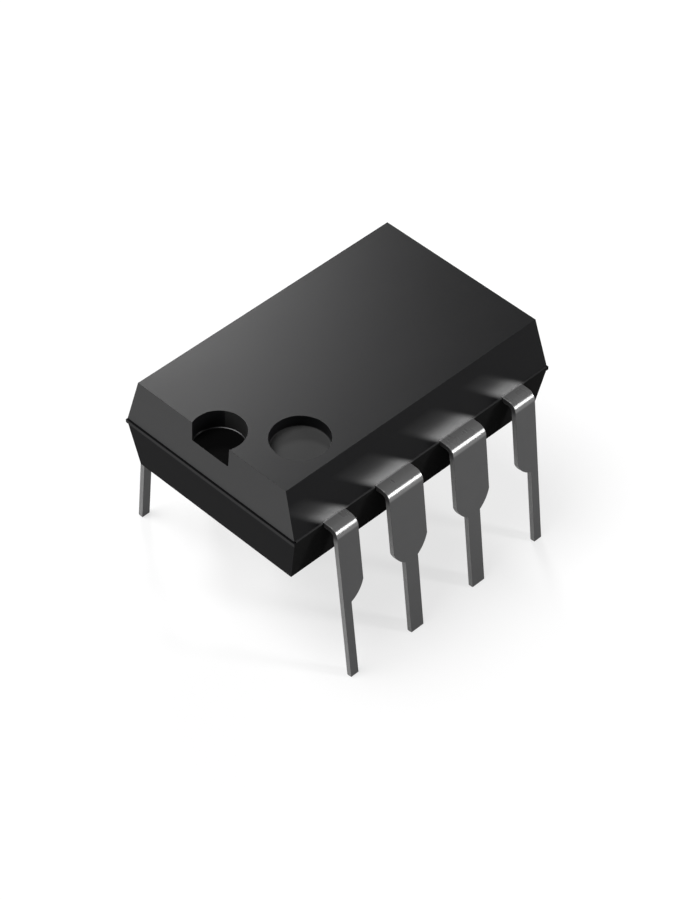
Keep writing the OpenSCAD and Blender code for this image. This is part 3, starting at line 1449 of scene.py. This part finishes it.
    def build(self) -> list[bpy.types.Object]:
        """Makes the eight leads' pieces, each of which stands for its node.

        Returns:
            The pieces.
        """
        # Painted shade: the inner faces get a darker copy of the tin plate, for the shade under the
        # body that they mirror.
        dull = [grey(level) for level in (0.008, 0.012, 0.02, 0.01)]
        finishes = {
            SheetFace.OUTER: TinPlate(),
            SheetFace.OPEN_EDGE: ShearedTin(),
            # Painted shade: the edges between two leads mirror the shade under the body, so their
            # painted reflection higher up is darker.
            SheetFace.CUT_EDGE: ShearedTin("cut_tin", reflection_z=(3.0, 4.2), painted_reflection=grey(0.1)),
            SheetFace.INNER: TinPlate("shaded_tin", *dull, metallic=0.45),
        }
        dressed = [finishes[face] for face in SheetFace]
        made = []
        for number in range(1, 2 * self.row_count + 1):
            lead = piece(f"formed_lead_{number}", self.mesh(number), self.frame.parting, dressed)
            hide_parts(f"lead_{number}")
            made.append(lead)
        return made


@dataclass
class BondedDie:
    """The pieces inside the resin, which keep their nodes' shapes.

    Attributes:
        nodes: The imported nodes' objects, by name.
        wire_count: How many bond wires there are.
    """

    nodes: dict[str, bpy.types.Object]
    wire_count: int = 8

    def finishes(self) -> dict[str, Finish]:
        """Chooses what dresses each node.

        Returns:
            The finishes, by the node's name.
        """
        chosen: dict[str, Finish] = {
            "die_paddle": BareCopper(),
            "die_attach": SilverEpoxy(),
            "silicon_die": PolishedSilicon(),
        }
        wires = range(1, self.wire_count + 1)
        return chosen | {f"bond_wire_{number}": GoldWire() for number in wires}

    def dress(self) -> list[bpy.types.Object]:
        """Gives every inner node its finish.

        Returns:
            The nodes' objects.
        """
        for name, finish in self.finishes().items():
            slots = self.nodes[name].material_slots
            if not slots:
                self.nodes[name].data.materials.append(finish.material())
            for place in slots:
                place.material = finish.material()
        return [self.nodes[name] for name in self.finishes()]


@dataclass(frozen=True)
class Lamp:
    """A lamp that faces the object.

    Attributes:
        name: Its name.
        azimuth: Where it stands round the object, in degrees from +X towards +Y.
        elevation: How high it stands, in degrees.
    """

    name: str
    azimuth: float
    elevation: float

    def data(self) -> bpy.types.Light:
        """Makes what the lamp's object holds."""
        raise NotImplementedError

    def away(self) -> Vector:
        """Gives the direction from the object to the lamp.

        Returns:
            The direction, 1 long.
        """
        turn, rise = math.radians(self.azimuth), math.radians(self.elevation)
        level = math.cos(rise)
        return Vector((math.cos(turn) * level, math.sin(turn) * level, math.sin(rise)))

    def place(self, aim: Vector) -> Vector:
        """Gives the lamp's place when it faces a point."""
        return aim + self.away()

    def build(self, aim: Vector) -> bpy.types.Object:
        """Makes the lamp.

        Args:
            aim: The point that it faces, in metres.

        Returns:
            The lamp's object.
        """
        made = bpy.data.objects.new(self.name, self.data())
        bpy.context.collection.objects.link(made)
        made.location = self.place(aim)
        made.rotation_mode = "QUATERNION"
        made.rotation_quaternion = self.away().to_track_quat("Z", "Y")
        return made


@dataclass(frozen=True)
class SoftBox(Lamp):
    """A lamp with a flat face, close to the object.

    Attributes:
        distance: How far off it stands, in millimetres.
        width: How wide its face is, in millimetres.
        height: How high its face is, in millimetres.
        radiance: How bright its face is, where 1 shows as white.
    """

    distance: float
    width: float
    height: float
    radiance: float

    def data(self) -> bpy.types.Light:
        """Makes a flat face of the box's brightness.

        Returns:
            The light.
        """
        lamp = bpy.data.lights.new(self.name, "AREA")
        lamp.shape = "RECTANGLE"
        lamp.size, lamp.size_y = self.width * MM, self.height * MM
        lamp.energy = self.radiance * math.pi * lamp.size * lamp.size_y
        return lamp

    def place(self, aim: Vector) -> Vector:
        """Gives the box's place when it faces a point."""
        return aim + self.away() * self.distance * MM


@dataclass(frozen=True)
class Skylight(Lamp):
    """A broad, far lamp that lights the whole table evenly.

    Attributes:
        strength: How much light falls on a surface that faces it.
        spread: How wide it looks from the object, in degrees.
    """

    strength: float
    spread: float

    def data(self) -> bpy.types.Light:
        """Makes a wide disc of light at no set distance.

        Returns:
            The light.
        """
        lamp = bpy.data.lights.new(self.name, "SUN")
        lamp.energy = self.strength
        lamp.angle = math.radians(self.spread)
        return lamp


@dataclass
class Studio:
    """The camera at the photograph's angle, the lamps, the pale table and the sky.

    Attributes:
        aim: The point that the camera looks at, in millimetres.
        eye: The camera's place, in millimetres.
        roll: How far it is rolled, in degrees.
        lens: Its focal length, in millimetres.
        sensor: The width of its sensor, in millimetres.
        clip: The least and the greatest distance that it sees, in millimetres.
        table_radius: The radius of the table, in millimetres.
        table_steps: How many edges go round the table.
        lamps: The lamps.
        sky_levels: The sky's grey at heights from 0, level with the eye, to 1, overhead.
    """

    aim: Triple = (-1.699, -1.681, 5.531)
    eye: Triple = (-45.87, -47.048, 67.876)
    roll: float = -0.164
    lens: float = 126.68
    sensor: float = 36.0
    clip: tuple[float, float] = (1.0, 2000.0)
    table_radius: float = 500.0
    table_steps: int = 96
    lamps: tuple[Lamp, ...] = (
        SoftBox("back_box", 56.0, 36.5, distance=85.0, width=14.0, height=14.0, radiance=38.5),
        SoftBox("key_strip", -57.0, 20.0, distance=110.0, width=16.0, height=52.0, radiance=22.0),
        Skylight("skylight", 144.0, 65.0, strength=3.1, spread=40.0),
    )
    sky_levels: tuple[tuple[float, float], ...] = ((0.0, 0.3), (0.1, 0.2), (0.3, 0.06), (1.0, 0.06))

    def camera(self) -> None:
        """Makes the camera and gives it to the scene."""
        lens = bpy.data.cameras.new("camera")
        lens.lens = self.lens
        lens.sensor_width = self.sensor
        lens.clip_start, lens.clip_end = (distance * MM for distance in self.clip)
        made = bpy.data.objects.new("camera", lens)
        bpy.context.collection.objects.link(made)
        eye, aim = Vector(self.eye) * MM, Vector(self.aim) * MM
        made.location = eye
        made.rotation_mode = "QUATERNION"
        turned = Quaternion((0, 0, 1), math.radians(self.roll))
        made.rotation_quaternion = (aim - eye).to_track_quat("-Z", "Y") @ turned
        bpy.context.scene.camera = made

    def table(self) -> None:
        """Makes the table top under the lead tips."""
        build = bmesh.new()
        radius = self.table_radius * MM
        bmesh.ops.create_circle(build, cap_ends=True, segments=self.table_steps, radius=radius)
        mesh = taken(build)
        mesh.name = "table"
        mesh.materials.append(PaleTable().material())
        made = bpy.data.objects.new("table", mesh)
        bpy.context.collection.objects.link(made)

    def sky(self) -> None:
        """Makes a plain sky that is brightest just above the table's edge."""
        world = bpy.data.worlds.new("sky")
        bpy.context.scene.world = world
        graph = Graph(world)
        z = graph.axes(graph.node("ShaderNodeTexCoord", output="Generated"))[2]
        levels = graph.ramp(z, *((place, grey(level)) for place, level in self.sky_levels))
        light = graph.node("ShaderNodeBackground", sockets={"Color": levels})
        graph.node("ShaderNodeOutputWorld", sockets={"Surface": light})

    def build(self) -> None:
        """Sets up the whole studio."""
        bpy.context.scene.view_settings.view_transform = "Standard"
        self.camera()
        self.table()
        self.sky()
        for lamp in self.lamps:
            lamp.build(Vector(self.aim) * MM)


def reported(label: str, made: Callable[[], object]) -> None:
    """Runs one builder and reports what it made.

    Args:
        label: The sub-assembly's name.
        made: The builder, which gives a piece or a list of pieces.
    """
    result = made()
    parts = result if isinstance(result, list) else [result]
    for part in parts:
        LOG.info("%s: %s, %d faces", label, part.name, len(part.data.polygons))


def main() -> None:
    """Builds the looks around the frame."""
    logging.basicConfig(level=logging.INFO, format="%(name)s: %(message)s")
    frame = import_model()
    sizes = FrameSizes()
    reported("body", MouldedBody(sizes).build)
    reported("leads", LeadFrame(sizes).build)
    reported("inside", BondedDie(frame["nodes"]).dress)
    Studio().build()


if __name__ == "__main__":
    main()
